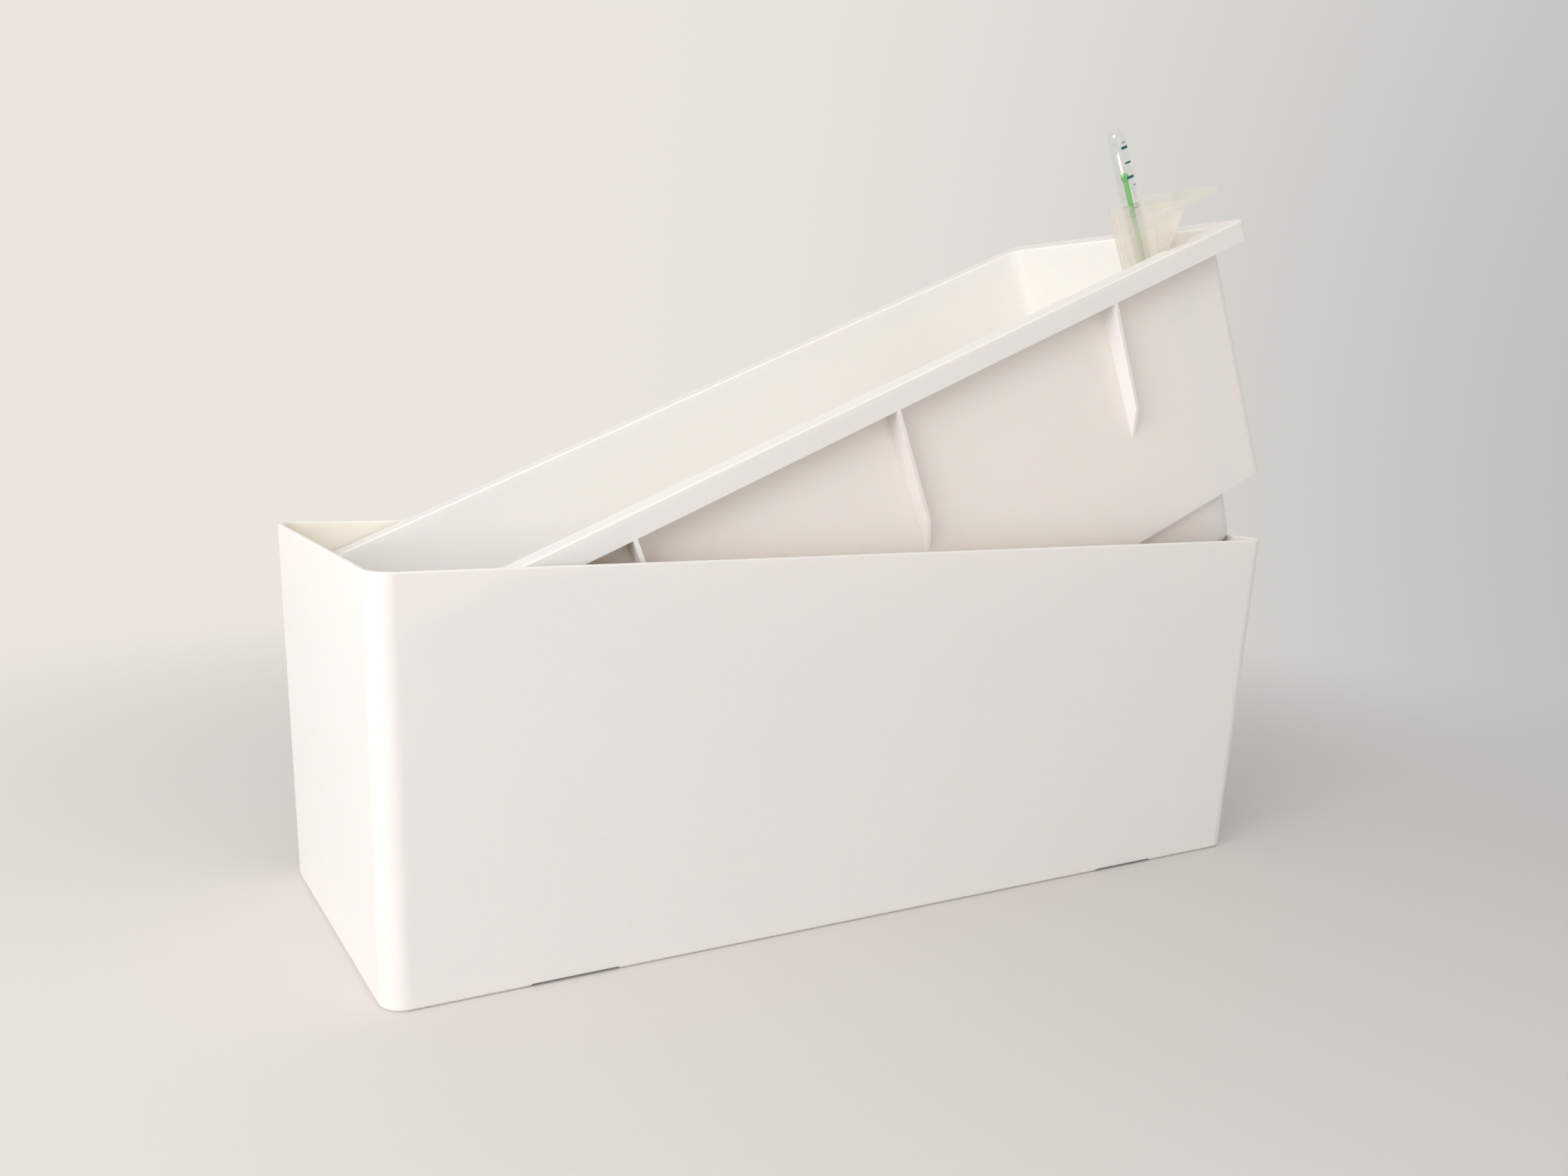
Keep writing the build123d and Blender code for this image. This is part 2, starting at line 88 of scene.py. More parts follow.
# The gauge, in millimetres and degrees. Marks and words are placed down from the top of the tube.
TUBE_RADIUS = 4.8
BORE_RADIUS = 3.9
BORE_DOME = 2.9
COLLAR_RADIUS = 6.0
COLLAR_ROUND = 0.2
FLOAT_RADIUS = 3.6
FLOAT_NOSE = 2.0
FLOAT_ROUND = 1.2
ROD_RADIUS = 1.4
BULB_RADIUS = 2.1
BULB_HEIGHT = 5.0
BULB_START = -0.84  # the angle, in radians, at which the bulb leaves the rod
BULB_NECK = 0.4
LEVEL_MARKS = ((10.8, 1.5, 34.0), (18.9, 1.0, 30.0), (26.7, 1.5, 38.0))  # place, height, half turn
LEVEL_WORDS = (("MAX", 8.1, -3.0), ("MIN", 31.4, 12.0))  # word, place, turn
WORD_SIZE = 1.6

# Materials.
NOISE_SPAN = (0.3, 0.7)  # where most of a noise texture's values lie
GLOW_RADIUS = (1.0, 0.56, 0.28)
GLOW_DEPTH = 0.0075
CHUTE_LEVELS = (0.2596, 0.2696)  # metres along the lift, between which the filler's wall thins out
CHUTE_SHARE = 0.3  # how milky the chute is beside the shaft
MILK_GLOW = 0.25  # how much of the filler's milk lets the light glow through
GLOSS_HEAD_ON = 0.07
GLOSS_FALL = 5.0

# The stage, in metres.
WARM_WHITE = (1.0, 0.985, 0.965)
LAMPS = (  # name, place, aim, size, and the setting that holds the power
    ("key light", (-1.5, -0.72, 0.68), (0.0, 0.0, 0.15), (1.0, 1.0), "key_power"),
    ("top light", (-0.6, -0.6, 1.8), (0.0, 0.0, 0.15), (1.4, 1.4), "top_power"),
    ("fill light", (0.0, -1.3, 0.35), (0.0, 0.0, 0.12), (0.5, 0.5), "fill_power"),
)
FLOOR_RADIUS = 4.0
# Painted shade: the floor's colour darkens from left to right, standing in for the lights' falloff.
FLOOR_SHADE_SPAN = (-0.5, 0.6)  # from the left colour to the right one
FLOOR_FADE = (0.27, 0.95)  # from the floor to what lies behind it
# Painted shade: the background seen by the camera darkens from left to right, standing in for the
# lights' falloff.
BACKDROP_SHADE_SPAN = (0.3, 0.9)  # from the left colour to the right one, along the X of a direction
BACKDROP_SHADE_FALL = 2.2


class MouldingSettings(bpy.types.PropertyGroup):
    """The white mouldings: trough and liner."""

    colour: bpy.props.FloatVectorProperty(
        name="Plastic colour", description="Colour of the trough and liner",
        subtype="COLOR", size=3, min=0, max=1, default=(0.88, 0.83, 0.805),
    )
    # Painted light: the liner's inner walls are painted paler and warmer than its outer walls,
    # standing in for the light gathered inside the liner.
    inner_painted_light: bpy.props.FloatVectorProperty(
        name="Inner colour",
        description="Colour of the liner's inner walls, paler for the light they gather",
        subtype="COLOR", size=3, min=0, max=1, default=(0.985, 0.945, 0.905),
    )
    # Painted light: the trough's inner walls are painted warmer, standing in for light passing
    # through the plastic.
    hollow_painted_glow: bpy.props.FloatVectorProperty(
        name="Hollow colour",
        description="Colour of the trough's inner walls, warmed by the light they gather",
        subtype="COLOR", size=3, min=0, max=1, default=(0.955, 0.89, 0.81),
    )
    roughness: bpy.props.FloatProperty(
        name="Roughness", description="How matt the mouldings are",
        subtype="FACTOR", min=0, max=1, default=0.42,
    )
    grain: bpy.props.FloatProperty(
        name="Grain depth", description="Depth of the fine texture left by the mould",
        unit="LENGTH", precision=6, default=0.00003,
    )
    edge_round: bpy.props.FloatProperty(
        name="Edge round", description="Radius on the mouldings' hard edges",
        unit="LENGTH", precision=5, default=0.0004,
    )


class GaugeSettings(bpy.types.PropertyGroup):
    """The filler and its float gauge."""

    frosted: bpy.props.FloatVectorProperty(
        name="Filler colour", description="Colour of the frosted filler",
        subtype="COLOR", size=3, min=0, max=1, default=(1.0, 0.955, 0.88),
    )
    milkiness: bpy.props.FloatProperty(
        name="Milkiness",
        description="How much of what lies behind each face of the filler is hidden",
        subtype="FACTOR", min=0, max=1, default=0.24,
    )
    rod_colour: bpy.props.FloatVectorProperty(
        name="Rod colour", description="Colour of the float's rod and bulb",
        subtype="COLOR", size=3, min=0, max=1, default=(0.1, 0.5, 0.06),
    )
    mark_colour: bpy.props.FloatVectorProperty(
        name="Mark colour", description="Colour of the printed level marks",
        subtype="COLOR", size=3, min=0, max=1, default=(0.0, 0.12, 0.14),
    )
    ink: bpy.props.FloatProperty(
        name="Ink thickness", description="How far the printed marks stand off the tube",
        unit="LENGTH", precision=6, default=0.00005,
    )
    mark_turn: bpy.props.FloatProperty(
        name="Mark turn", description="Where round the tube the marks are printed",
        unit="ROTATION", default=radians(-82),
    )


class StageSettings(bpy.types.PropertyGroup):
    """Floor, lights and camera."""

    floor_lit_left: bpy.props.FloatVectorProperty(
        name="Floor, left", description="Colour of the floor at the left",
        subtype="COLOR", size=3, min=0, max=1, default=(0.765, 0.735, 0.71),
    )
    floor_shaded_right: bpy.props.FloatVectorProperty(
        name="Floor, right", description="Colour of the floor at the right",
        subtype="COLOR", size=3, min=0, max=1, default=(0.60, 0.582, 0.565),
    )
    backdrop_lit_left: bpy.props.FloatVectorProperty(
        name="Backdrop, left", description="Colour of what lies behind the floor, at the left",
        subtype="COLOR", size=3, min=0, max=1, default=(0.839, 0.785, 0.738),
    )
    backdrop_shaded_right: bpy.props.FloatVectorProperty(
        name="Backdrop, right", description="Colour of what lies behind the floor, at the right",
        subtype="COLOR", size=3, min=0, max=1, default=(0.477, 0.503, 0.49),
    )
    key_power: bpy.props.FloatProperty(
        name="Key power", description="Power of the large soft light at the left",
        unit="POWER", default=16.4,
    )
    top_power: bpy.props.FloatProperty(
        name="Top power", description="Power of the large soft light overhead",
        unit="POWER", default=3.3,
    )
    fill_power: bpy.props.FloatProperty(
        name="Fill power", description="Power of the small soft light in front",
        unit="POWER", default=0.35,
    )
    sky: bpy.props.FloatProperty(
        name="Sky", description="Strength of the even light from all round", default=0.66,
    )
    lens: bpy.props.FloatProperty(
        name="Lens", description="Focal length on a 36 mm wide film", unit="CAMERA", default=30.293,
    )
    eye: bpy.props.FloatVectorProperty(
        name="Eye", description="Where the camera stands",
        size=3, subtype="TRANSLATION", unit="LENGTH", default=(-0.37289, -0.61328, 0.25726),
    )
    aim: bpy.props.FloatVectorProperty(
        name="Aim", description="Camera's turn from the back, its look down, and its roll",
        size=3, subtype="EULER", unit="ROTATION",
        default=(radians(30.672), radians(8.235), radians(1.941)),
    )


# ---- materials ------------------------------------------------------------------------------


def new_material(name):
    """An empty node material, its node tree and the tree's output node."""
    material = bpy.data.materials.new(name)
    material.use_nodes = True
    tree = material.node_tree
    tree.nodes.clear()
    output = tree.nodes.new("ShaderNodeOutputMaterial")
    return material, tree, output


def add(tree, kind, inputs=None, **settings):
    """Adds a node, sets its properties and its plain input values."""
    node = tree.nodes.new(kind)
    for key, value in settings.items():
        setattr(node, key, value)
    for key, value in (inputs or {}).items():
        node.inputs[key].default_value = value
    return node


def noise(tree, coordinates, scale, detail=3.0, roughness=0.5):
    """A noise texture on the piece's own coordinates; scale is in features per metre."""
    inputs = {"Scale": scale, "Detail": detail, "Roughness": roughness}
    node = add(tree, "ShaderNodeTexNoise", inputs)
    tree.links.new(coordinates, node.inputs["Vector"])
    return node.outputs["Fac"]


def carried(tree, value, span, target=(0.0, 1.0), kind="LINEAR"):
    """Carries a value from one span over to another, and holds it at their ends."""
    node = add(tree, "ShaderNodeMapRange", interpolation_type=kind)
    for socket, number in zip(("From Min", "From Max", "To Min", "To Max"), (*span, *target)):
        node.inputs[socket].default_value = number
    tree.links.new(value, node.inputs["Value"])
    return node.outputs["Result"]


def spread(tree, value, low, high):
    """Stretches a noise value, most of it near the middle, to a range."""
    return carried(tree, value, NOISE_SPAN, (low, high))


def scaled(colour, share):
    """A colour times a share, with no channel over one."""
    return [min(1.0, channel * share) for channel in colour]


def tinted(tree, value, dark, light):
    """A colour between two, chosen by a 0 to 1 value."""
    node = add(tree, "ShaderNodeMix", data_type="RGBA")
    node.inputs["A"].default_value = (*dark, 1.0)
    node.inputs["B"].default_value = (*light, 1.0)
    tree.links.new(value, node.inputs["Factor"])
    return node.outputs["Result"]


def bumped(tree, height, depth):
    """A bump node for a height, at a depth in metres."""
    node = add(tree, "ShaderNodeBump", {"Distance": depth, "Strength": 1.0})
    tree.links.new(height, node.inputs["Height"])
    return node.outputs["Normal"]


def mixed(tree, share, first, second):
    """Two surfaces in one, the second with the given share: a number or a socket."""
    node = add(tree, "ShaderNodeMixShader")
    if isinstance(share, float):
        node.inputs["Fac"].default_value = share
    else:
        tree.links.new(share, node.inputs["Fac"])
    tree.links.new(first, node.inputs[1])
    tree.links.new(second, node.inputs[2])
    return node.outputs["Shader"]


def moulded_plastic(name, colour, roughness, grain, glow=0.35, grain_scale=1800.0):
    """Satin injection-moulded plastic: faint cloudiness, a fine mould grain and light scuffs."""
    material, tree, output = new_material(name)
    place = add(tree, "ShaderNodeTexCoord").outputs["Object"]
    shade = add(tree, "ShaderNodeBsdfPrincipled", {"IOR": 1.49})
    shade.subsurface_method = "RANDOM_WALK"
    shade.inputs["Subsurface Weight"].default_value = glow
    shade.inputs["Subsurface Radius"].default_value = GLOW_RADIUS
    shade.inputs["Subsurface Scale"].default_value = GLOW_DEPTH
    cloud = spread(tree, noise(tree, place, scale=6.0, detail=2.0), low=0.0, high=1.0)
    tint = tinted(tree, cloud, scaled(colour, 0.988), scaled(colour, 1.004))
    tree.links.new(tint, shade.inputs["Base Color"])
    streak_map = add(tree, "ShaderNodeMapping", {"Scale": (1.0, 1.0, 9.0)})
    tree.links.new(place, streak_map.inputs["Vector"])
    streaks = noise(tree, streak_map.outputs["Vector"], scale=14.0, detail=4.0, roughness=0.6)
    shine = spread(tree, streaks, low=roughness - 0.04, high=roughness + 0.05)
    tree.links.new(shine, shade.inputs["Roughness"])
    grain_height = noise(tree, place, grain_scale, detail=2.0)
    tree.links.new(bumped(tree, grain_height, grain), shade.inputs["Normal"])
    tree.links.new(shade.outputs["BSDF"], output.inputs["Surface"])
    return material


def frosted_plastic(name, colour, milkiness):
    """Thin milky plastic: part of what lies behind shows, the rest of a face takes up light."""
    material, tree, output = new_material(name)
    place = add(tree, "ShaderNodeTexCoord").outputs["Object"]
    tint = tinted(tree, noise(tree, place, scale=60.0), scaled(colour, 0.97), colour)
    lit = add(tree, "ShaderNodeBsdfDiffuse")
    glowing = add(tree, "ShaderNodeBsdfTranslucent")
    tree.links.new(tint, lit.inputs["Color"])
    tree.links.new(tint, glowing.inputs["Color"])
    milk = mixed(tree, MILK_GLOW, lit.outputs["BSDF"], glowing.outputs["BSDF"])
    open_face = add(tree, "ShaderNodeBsdfTransparent", {"Color": (1.0, 0.997, 0.982, 1.0)})
    cloud = spread(tree, noise(tree, place, scale=110.0, detail=3.0), low=0.88, high=1.12)
    up = add(tree, "ShaderNodeVectorMath", {1: LIFT_AXIS}, operation="DOT_PRODUCT")
    tree.links.new(place, up.inputs[0])
    range_up = (milkiness, CHUTE_SHARE * milkiness)
    thinning = carried(tree, up.outputs["Value"], CHUTE_LEVELS, range_up, "SMOOTHSTEP")
    share = add(tree, "ShaderNodeMath", operation="MULTIPLY")
    tree.links.new(cloud, share.inputs[0])
    tree.links.new(thinning, share.inputs[1])
    body = mixed(tree, share.outputs["Value"], open_face.outputs["BSDF"], milk)
    uneven = spread(tree, noise(tree, place, scale=90.0), low=0.1, high=0.18)
    normal = bumped(tree, noise(tree, place, scale=350.0), depth=0.00004)
    tree.links.new(thin_gloss(tree, body, uneven, normal), output.inputs["Surface"])
    return material


def thin_gloss(tree, body, roughness, normal, rim=0.4):
    """Lays a shine over a see-through sheet that grows towards its edges, alike from both sides."""
    gloss = add(tree, "ShaderNodeBsdfGlossy", {"Color": (1.0, 1.0, 1.0, 1.0)})
    tree.links.new(roughness, gloss.inputs["Roughness"])
    tree.links.new(normal, gloss.inputs["Normal"])
    facing = add(tree, "ShaderNodeLayerWeight", {"Blend": 0.5})
    grazing = add(tree, "ShaderNodeMath", {1: GLOSS_FALL}, operation="POWER")
    tree.links.new(facing.outputs["Facing"], grazing.inputs[0])
    share = carried(tree, grazing.outputs["Value"], (0.0, 1.0), (GLOSS_HEAD_ON, rim))
    return mixed(tree, share, body, gloss.outputs["BSDF"])


def clear_plastic(name):
    """Clear polished tube plastic: nearly all light passes, with faint draw lines in its shine."""
    material, tree, output = new_material(name)
    place = add(tree, "ShaderNodeTexCoord").outputs["Object"]
    uneven_tint = noise(tree, place, scale=40.0)
    tint = tinted(tree, uneven_tint, dark=(0.955, 0.97, 0.965), light=(0.98, 0.99, 0.985))
    body = add(tree, "ShaderNodeBsdfTransparent")
    tree.links.new(tint, body.inputs["Color"])
    uneven = spread(tree, noise(tree, place, scale=70.0), low=0.04, high=0.09)
    normal = bumped(tree, noise(tree, place, scale=160.0), depth=0.00001)
    shiny = thin_gloss(tree, body.outputs["BSDF"], uneven, normal, rim=0.55)
    tree.links.new(shiny, output.inputs["Surface"])
    return material


def printed_ink(name, colour):
    """Printed ink: slightly uneven in colour and gloss."""
    material, tree, output = new_material(name)
    place = add(tree, "ShaderNodeTexCoord").outputs["Object"]
    shade = add(tree, "ShaderNodeBsdfPrincipled")
    tint = tinted(tree, noise(tree, place, scale=700.0), scaled(colour, 0.85), colour)
    tree.links.new(tint, shade.inputs["Base Color"])
    shine = spread(tree, noise(tree, place, scale=300.0), low=0.3, high=0.5)
    tree.links.new(shine, shade.inputs["Roughness"])
    tree.links.new(shade.outputs["BSDF"], output.inputs["Surface"])
    return material


# ---- meshes ---------------------------------------------------------------------------------


def settle(mesh):
    """Orders a mesh's parts by place, because a spin doesn't order them alike in every run."""
    mesh.verts.sort(key=lambda vert: vert.co.dot(SLANT))
    mesh.edges.sort(key=lambda edge: (edge.verts[0].co + edge.verts[1].co).dot(SLANT))
    mesh.faces.sort(key=lambda face: face.calc_center_median().dot(SLANT))


def finish_piece(name, mesh, material, body, replaced=()):
    """Makes a bmesh an object that rides on a body and stands for the nodes it replaces."""
    settle(mesh)
    data = bpy.data.meshes.new(name)
    mesh.to_mesh(data)
    mesh.free()
    piece = bpy.data.objects.new(name, data)
    bpy.context.scene.collection.objects.link(piece)
    data.materials.append(material)
    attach(piece, body)
    if replaced:
        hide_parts(*replaced)
    return piece


def softened_copy(node, width):
    """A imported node's mesh with its flat faces joined and its hard edges rounded."""
    mesh = bmesh.new()
    mesh.from_mesh(frame["nodes"][node].data)
    bmesh.ops.remove_doubles(mesh, verts=mesh.verts, dist=MERGE_GAP)
    bmesh.ops.dissolve_degenerate(mesh, edges=mesh.edges, dist=MERGE_GAP)
    bmesh.ops.dissolve_limit(mesh, angle_limit=FLAT_ANGLE, verts=mesh.verts, edges=mesh.edges)
    hard = [edge for edge in mesh.edges if edge.is_manifold and edge.calc_face_angle() > HARD_ANGLE]
    bmesh.ops.bevel(
        mesh, geom=hard, offset=width, offset_type="OFFSET", segments=2, profile=0.5,
        affect="EDGES", clamp_overlap=True, material=-1,
    )
    for face in mesh.faces:
        face.smooth = True
    return mesh


def node_place(node):
    """A tilted node's frame and height: from the middle of its low end, with Z along its lift."""
    side = Vector((0, 1, 0)).cross(LIFT_AXIS).normalized()
    turn = Matrix((side, LIFT_AXIS.cross(side), LIFT_AXIS))
    points = [turn @ vertex.co for vertex in frame["nodes"][node].data.vertices]
    low, high = ([pick(p[i] for p in points) for i in range(3)] for pick in (min, max))
    middle = Vector(((low[0] + high[0]) / 2, (low[1] + high[1]) / 2, low[2]))
    place = turn.transposed().to_4x4()
    place.translation = turn.transposed() @ middle
    return place, (high[2] - low[2]) / MM


def mark_inner_walls(mesh, place, height):
    """Writes on each face of an open box whether it looks into the box, whose frame is place; the
    marked faces get painted light.
    """
    into = place.inverted()
    layer = mesh.faces.layers.float.new("inner")
    for face in mesh.faces:
        spot = into @ face.calc_center_median() / MM
        facing = into.to_3x3() @ face.normal
        if abs(facing.z) > LEVEL_FACING:
            inner = facing.z > 0 and spot.z < height - RIM_DEPTH
        elif abs(facing.x) > abs(facing.y):
            inner = facing.x * spot.x < 0
        else:
            inner = facing.y * spot.y < 0
        face[layer] = float(inner)


def paint_inner_light(material, colour):
    """Gives the faces marked as inner a colour of their own in a moulded plastic: painted light
    standing in for the light the inner walls gather.
    """
    tree = material.node_tree
    shade = next(node for node in tree.nodes if node.type == "BSDF_PRINCIPLED")
    outer = shade.inputs["Base Color"].links[0].from_socket
    mark = add(tree, "ShaderNodeAttribute", attribute_name="inner")
    mix = add(tree, "ShaderNodeMix", data_type="RGBA")
    tree.links.new(mark.outputs["Fac"], mix.inputs["Factor"])
    tree.links.new(outer, mix.inputs["A"])
    mix.inputs["B"].default_value = (*colour, 1.0)
    tree.links.new(mix.outputs["Result"], shade.inputs["Base Color"])


def wide_part(node, place, radius):
    """The heights, in millimetres, between which a turned node is wider than a radius."""
    inverse = place.inverted()
    points = [inverse @ vertex.co / MM for vertex in frame["nodes"][node].data.vertices]
    heights = [p.z for p in points if p.xy.length > radius]
    return min(heights), max(heights)


def rounded(profile, amount):
    """The profile with each corner cut to a short round, apart from those on the axis."""
    points = [Vector(p) for p in profile]
    result = [points[0]]
    for before, corner, after in zip(points, points[1:], points[2:]):
        if corner.x == 0:
            result.append(corner)
            continue
        start, end = (
            corner + side.normalized() * min(amount, side.length * ROUND_SHARE)
            for side in (before - corner, after - corner)
        )
        result += [start, (start + end + 2 * corner) / 4, end]
    return result + [points[-1]]


def turned(profile, place, segments=64):
    """A turned solid, from (radius, height) points in millimetres that run round its section."""
    mesh = bmesh.new()
    verts = [mesh.verts.new((radius * MM, 0, height * MM)) for radius, height in profile]
    edges = [mesh.edges.new(pair) for pair in zip(verts, verts[1:]) if pair[0].co.x or pair[1].co.x]
    bmesh.ops.spin(
        mesh, geom=verts + edges, cent=(0, 0, 0), axis=(0, 0, 1), angle=2 * pi, steps=segments,
        use_merge=True,
    )
    bmesh.ops.remove_doubles(mesh, verts=mesh.verts, dist=WELD_GAP * MM)
    bmesh.ops.recalc_face_normals(mesh, faces=mesh.faces)
    bmesh.ops.transform(mesh, matrix=place, verts=mesh.verts)
    for face in mesh.faces:
        face.smooth = True
    return mesh


def arc(radius, level, rise, start, end, steps):
    """Profile points of an elliptic arc round (0, level); it meets the axis exactly."""
    points = []
    for step in range(steps + 1):
        angle = start + (end - start) * step / steps
        reach = radius * cos(angle) if abs(angle - pi / 2) > AXIS_GAP else 0.0
        points.append((max(0.0, reach), level + rise * sin(angle)))
    return points


def bent_bar(mesh, radius, thickness, height, tall, start, end):
    """Adds a thin bar printed part of the way round a tube."""
    upright = Matrix.Rotation(pi / 2, 4, "X")
    place = Matrix.Translation((radius + thickness / 2, 0, height)) @ upright
    size = Matrix.Diagonal((thickness, tall, 1, 1))
    made = bmesh.ops.create_grid(
        mesh, x_segments=1, y_segments=1, size=0.5, matrix=place @ size,
    )["verts"]
    faces = list({face for vert in made for face in vert.link_faces})
    bmesh.ops.rotate(mesh, verts=made, cent=(0, 0, 0), matrix=Matrix.Rotation(start, 3, "Z"))
    bmesh.ops.spin(mesh, geom=faces, cent=(0, 0, 0), axis=(0, 0, 1), angle=end - start, steps=16)


def bent_word(mesh, word, size, radius, thickness, height, middle):
    """Adds a word in thin ink, wrapped round a tube."""
    curve = bpy.data.curves.new(word, "FONT")
    curve.body = word
    curve.size = size
    curve.extrude = thickness / 2
    curve.resolution_u = 3
    curve.align_x = "CENTER"
    curve.align_y = "CENTER"
    holder = bpy.data.objects.new(word, curve)
    bpy.context.scene.collection.objects.link(holder)
    bpy.context.view_layer.update()
    flat = bpy.data.meshes.new_from_object(holder)
    known = set(mesh.verts)
    mesh.from_mesh(flat)
    for vert in set(mesh.verts) - known:
        turn = middle + vert.co.x / radius
        reach = radius + thickness / 2 + vert.co.z
        vert.co = (reach * cos(turn), reach * sin(turn), height + vert.co.y)
    bpy.data.objects.remove(holder)
    bpy.data.curves.remove(curve)
    bpy.data.meshes.remove(flat)


def weigh_normals(piece):
    """Keeps the large flat faces flat where they meet rounded edges."""
    modifier = piece.modifiers.new("flat faces", "WEIGHTED_NORMAL")
    modifier.mode = "FACE_AREA"
    modifier.weight = 50
    modifier.keep_sharp = True


class WINDOWBOX_OT_trough(bpy.types.Operator):
    """Build the outer water trough"""

    bl_idname = "window_box.trough"
    bl_label = "Outer trough"

    def execute(self, context):
        look = context.scene.window_box_moulding
        material = moulded_plastic("trough plastic", look.colour, look.roughness, look.grain)
        # Paints a warm glow onto the trough's inner walls.
        paint_inner_light(material, tuple(look.hollow_painted_glow))
        mesh = softened_copy("outer_trough", look.edge_round)
        height = max(vertex.co.z for vertex in mesh.verts) / MM
        mark_inner_walls(mesh, Matrix.Identity(4), height)
        piece = finish_piece(
            "trough_shell", mesh, material, "trough", ["outer_trough"],
        )
        weigh_normals(piece)
        return {"FINISHED"}


class WINDOWBOX_OT_liner(bpy.types.Operator):
    """Build the planting liner"""

    bl_idname = "window_box.liner"
    bl_label = "Planting liner"

    def execute(self, context):
        look = context.scene.window_box_moulding
        material = moulded_plastic("liner plastic", look.colour, look.roughness, look.grain)
        # Paints light onto the liner: its inner walls get a paler colour.
        paint_inner_light(material, tuple(look.inner_painted_light))
        mesh = softened_copy("inner_liner", look.edge_round)
        mark_inner_walls(mesh, *node_place("inner_liner"))
        piece = finish_piece(
            "liner_shell", mesh, material, "liner", ["inner_liner"],
        )
        weigh_normals(piece)
        return {"FINISHED"}


class WINDOWBOX_OT_filler(bpy.types.Operator):
    """Build the frosted filler"""

    bl_idname = "window_box.filler"
    bl_label = "Filler"

    def execute(self, context):
        look = context.scene.window_box_gauge
        material = frosted_plastic("frosted plastic", look.frosted, look.milkiness)
        mesh = softened_copy("filler", FILLER_EDGE)
        piece = finish_piece(
            "filler_shell", mesh, material, "filler_body", ["filler"],
        )
        weigh_normals(piece)
        return {"FINISHED"}


def tube_profile(height, collar):
    """Half section of the gauge tube: open foot, collar, domed top."""
    spring = height - TUBE_RADIUS
    low, high = collar
    foot_corner, collar_foot = (TUBE_RADIUS, 0), (TUBE_RADIUS, low)
    collar_edge = [(COLLAR_RADIUS, low), (COLLAR_RADIUS, high)]
    outside = [foot_corner, collar_foot, *collar_edge, (TUBE_RADIUS, high)]
    dome = arc(TUBE_RADIUS, spring, TUBE_RADIUS, 0, pi / 2, steps=14)
    bore = arc(BORE_RADIUS, spring, BORE_DOME, pi / 2, 0, steps=12)
    foot = [(BORE_RADIUS, 0), (TUBE_RADIUS, 0)]
    return rounded(outside, COLLAR_ROUND) + dome + bore + foot


def rod_profile(height):
    """Half section of the float's rod with the bulb at its top."""
    middle = height - BULB_HEIGHT / 2
    bulb = arc(BULB_RADIUS, middle, BULB_HEIGHT / 2, BULB_START, pi / 2, steps=14)
    return [(0, 0), (ROD_RADIUS, 0), (ROD_RADIUS, bulb[0][1] - BULB_NECK)] + bulb


def float_profile(height):
    """Half section of the float, with rounded ends."""
    tip = FLOAT_RADIUS - FLOAT_NOSE
    low = [(0, 0), (tip, 0), (FLOAT_RADIUS, FLOAT_NOSE)]
    high = [(FLOAT_RADIUS, height - FLOAT_NOSE), (tip, height), (0, height)]
    return rounded(low + high, FLOAT_ROUND)


class WINDOWBOX_OT_gauge(bpy.types.Operator):
    """Build the clear gauge, its float and its rod"""

    bl_idname = "window_box.gauge"
    bl_label = "Float gauge"

    def execute(self, context):
        look = context.scene.window_box_gauge
        white = context.scene.window_box_moulding
        clear = clear_plastic("clear plastic")
        foam = moulded_plastic(
            "float foam", colour=(0.86, 0.86, 0.84), roughness=0.6, grain=0.00004,
            grain_scale=3000.0,
        )
        green = moulded_plastic(
            "rod plastic", look.rod_colour, roughness=0.3, grain=0.00001, glow=0.05,
        )
        cap = moulded_plastic("cap plastic", white.colour, roughness=0.35, grain=0.00001)
        place, height = node_place("gauge_tube")
        collar = wide_part("gauge_tube", place, (TUBE_RADIUS + COLLAR_RADIUS) / 2)
        tube = turned(tube_profile(height, collar), place)
        finish_piece("gauge_tube_clear", tube, clear, "gauge", ["gauge_tube"])
        place, height = node_place("gauge_float")
        body = turned(float_profile(height), place)
        finish_piece("gauge_float_foam", body, foam, "float", ["gauge_float"])
        place, height = node_place("gauge_rod")
        rod = turned(rod_profile(height), place, segments=32)
        finish_piece("gauge_rod_green", rod, green, "float", ["gauge_rod"])
        soft = softened_copy("gauge_cap", CAP_EDGE)
        piece = finish_piece("gauge_cap_soft", soft, cap, "gauge", ["gauge_cap"])
        weigh_normals(piece)
        return {"FINISHED"}


class WINDOWBOX_OT_marks(bpy.types.Operator):
    """Print the level marks on the gauge"""

    bl_idname = "window_box.marks"
    bl_label = "Level marks"

    def execute(self, context):
        look = context.scene.window_box_gauge
        place, height = node_place("gauge_tube")
        radius = TUBE_RADIUS * MM
        mesh = bmesh.new()
        for down, tall, half_turn in LEVEL_MARKS:
            start, end = (look.mark_turn + sign * radians(half_turn) for sign in (-1, 1))
            bent_bar(mesh, radius, look.ink, (height - down) * MM, tall * MM, start, end)
        for word, down, turn in LEVEL_WORDS:
            middle = look.mark_turn + radians(turn)
            bent_word(mesh, word, WORD_SIZE * MM, radius, look.ink, (height - down) * MM, middle)
        bmesh.ops.remove_doubles(mesh, verts=mesh.verts, dist=WELD_GAP * MM)
        bmesh.ops.recalc_face_normals(mesh, faces=mesh.faces)
        bmesh.ops.transform(mesh, matrix=place, verts=mesh.verts)
        ink = printed_ink("level ink", look.mark_colour)
        finish_piece("gauge_marks", mesh, ink, "gauge")
        return {"FINISHED"}


